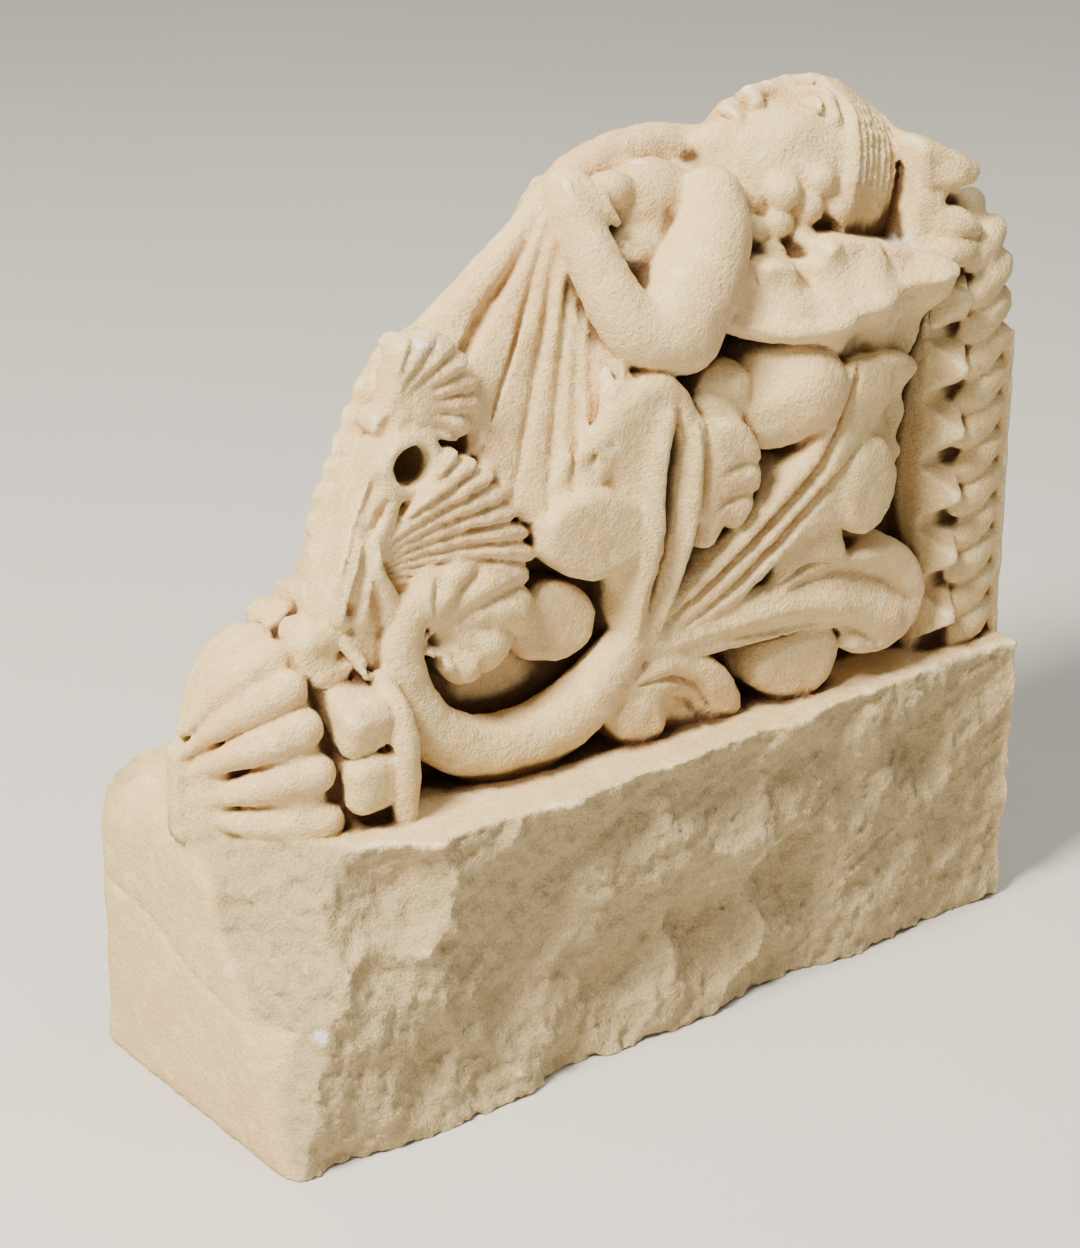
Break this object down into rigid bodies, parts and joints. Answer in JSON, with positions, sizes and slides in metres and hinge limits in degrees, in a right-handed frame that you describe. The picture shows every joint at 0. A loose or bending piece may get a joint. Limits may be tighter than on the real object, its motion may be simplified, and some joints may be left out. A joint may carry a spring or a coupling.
{
  "type": "carved stone corbel",
  "caption": "Carved sandstone corbel: a rough wall tail with leaf scrolls, a ribbed bud and a half figure holding cloth under a cable-moulded abacus.",
  "frame": {"origin": "middle of the flat underside, which is the end of the tail that goes deepest into the wall", "axes": "+X along the length, from the ribbed bud towards the flat top bed of the abacus; +Y across the thickness, from the near flank to the far one; +Z out of the wall, from the end of the tail towards the head"},
  "size_m": [0.42, 0.1587, 0.414],
  "materials": {
    "sandstone": "dry carved sandstone, cream to ochre, with a fine open grain, pale worn edges and browner hollows"
  },
  "bodies": {
    "root": {"corbel_stone": "sandstone"}
  },
  "joints": []
}
